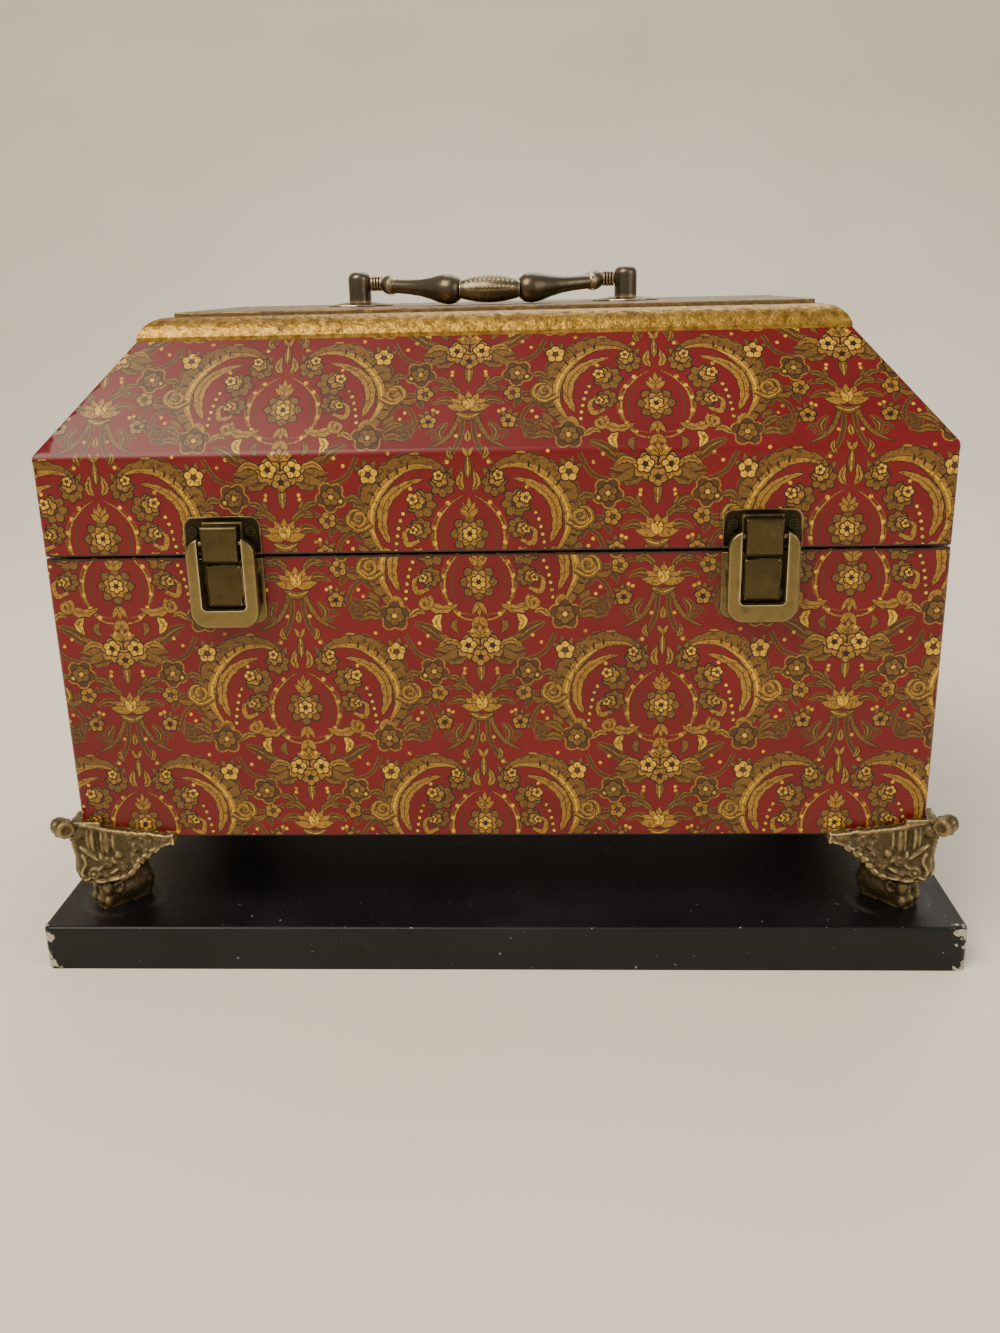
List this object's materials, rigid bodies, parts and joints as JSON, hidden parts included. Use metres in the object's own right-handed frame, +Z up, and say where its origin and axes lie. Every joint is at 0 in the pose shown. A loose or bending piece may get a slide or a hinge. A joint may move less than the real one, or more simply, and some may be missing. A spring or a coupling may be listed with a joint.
{
  "type": "hinged storage box",
  "caption": "Casket-shaped storage box covered in red and gold paper, with a hipped lid, bail handle, two swing latches and corner feet on a black board.",
  "frame": {"origin": "middle of the board's underside", "axes": "+X along the width to the right, +Y to the back, +Z up; the latches look along -Y"},
  "size_m": [0.389, 0.243, 0.2829],
  "materials": {
    "papered_board": "satin printed paper in red and gold over board",
    "dark_stained_wood": "satin dark brown stain",
    "gilt_wood": "gold leaf, rubbed brown at the edges",
    "gilt_resin": "antiqued gold paint on cast resin",
    "black_painted_board": "satin black paint, chipped at the corners",
    "antique_brass": "antiqued brass plate",
    "antique_bronze": "dark antiqued bronze plate, rubbed on the high spots",
    "steel_hardware": "plain zinc plate"
  },
  "bodies": {
    "case": {"base_board": "black_painted_board", "case_back": "papered_board", "case_bottom": "dark_stained_wood", "case_front": "papered_board", "case_left": "papered_board", "case_lip_back": "dark_stained_wood", "case_lip_front": "dark_stained_wood", "case_lip_left": "dark_stained_wood", "case_lip_right": "dark_stained_wood", "case_right": "papered_board", "foot_back_left": "gilt_resin", "foot_back_right": "gilt_resin", "foot_front_left": "gilt_resin", "foot_front_right": "gilt_resin", "hinge_case_leaf_left": "antique_brass", "hinge_case_leaf_right": "antique_brass", "hinge_case_screws": "antique_brass", "hinge_pin_left": "steel_hardware", "hinge_pin_right": "steel_hardware", "latch_case_plate_left": "antique_brass", "latch_case_plate_right": "antique_brass", "latch_case_screws": "antique_brass", "latch_catch_left": "antique_brass", "latch_catch_right": "antique_brass"},
    "lid": {"handle_nuts": "steel_hardware", "handle_post_left": "antique_bronze", "handle_post_right": "antique_bronze", "handle_rosette_left": "antique_bronze", "handle_rosette_right": "antique_bronze", "handle_washers": "steel_hardware", "hinge_lid_leaf_left": "antique_brass", "hinge_lid_leaf_right": "antique_brass", "hinge_lid_screws": "antique_brass", "latch_lid_plate_left": "antique_brass", "latch_lid_plate_right": "antique_brass", "latch_lid_screws": "antique_brass", "lid_panel": "dark_stained_wood", "lid_rim_back": "papered_board", "lid_rim_front": "papered_board", "lid_rim_left": "papered_board", "lid_rim_right": "papered_board", "lid_slope_back": "papered_board", "lid_slope_front": "papered_board", "lid_slope_left": "papered_board", "lid_slope_right": "papered_board", "moulding_back": "gilt_wood", "moulding_front": "gilt_wood", "moulding_left": "gilt_wood", "moulding_right": "gilt_wood", "top_board": "gilt_wood"},
    "handle_bail": {"handle_bail": "antique_bronze"},
    "latch_swing_left": {"latch_swing_left": "antique_brass"},
    "latch_swing_right": {"latch_swing_right": "antique_brass"}
  },
  "joints": [
    {"name": "lid_hinge", "type": "hinge", "parent": "case", "child": "lid", "pos_m": [0, 0.1079, 0.1766], "axis": [-1, 0, 0], "range_deg": [0, 105]},
    {"name": "bail_swing", "type": "hinge", "parent": "lid", "child": "handle_bail", "pos_m": [0, 0, 0.2778], "axis": [-1, 0, 0], "range_deg": [0, 162.7]},
    {"name": "latch_left_swing", "type": "hinge", "parent": "lid", "child": "latch_swing_left", "pos_m": [-0.1053, -0.1103, 0.1828], "axis": [-1, 0, 0], "range_deg": [0, 150]},
    {"name": "latch_right_swing", "type": "hinge", "parent": "lid", "child": "latch_swing_right", "pos_m": [0.1053, -0.1103, 0.1828], "axis": [-1, 0, 0], "range_deg": [0, 150]}
  ]
}
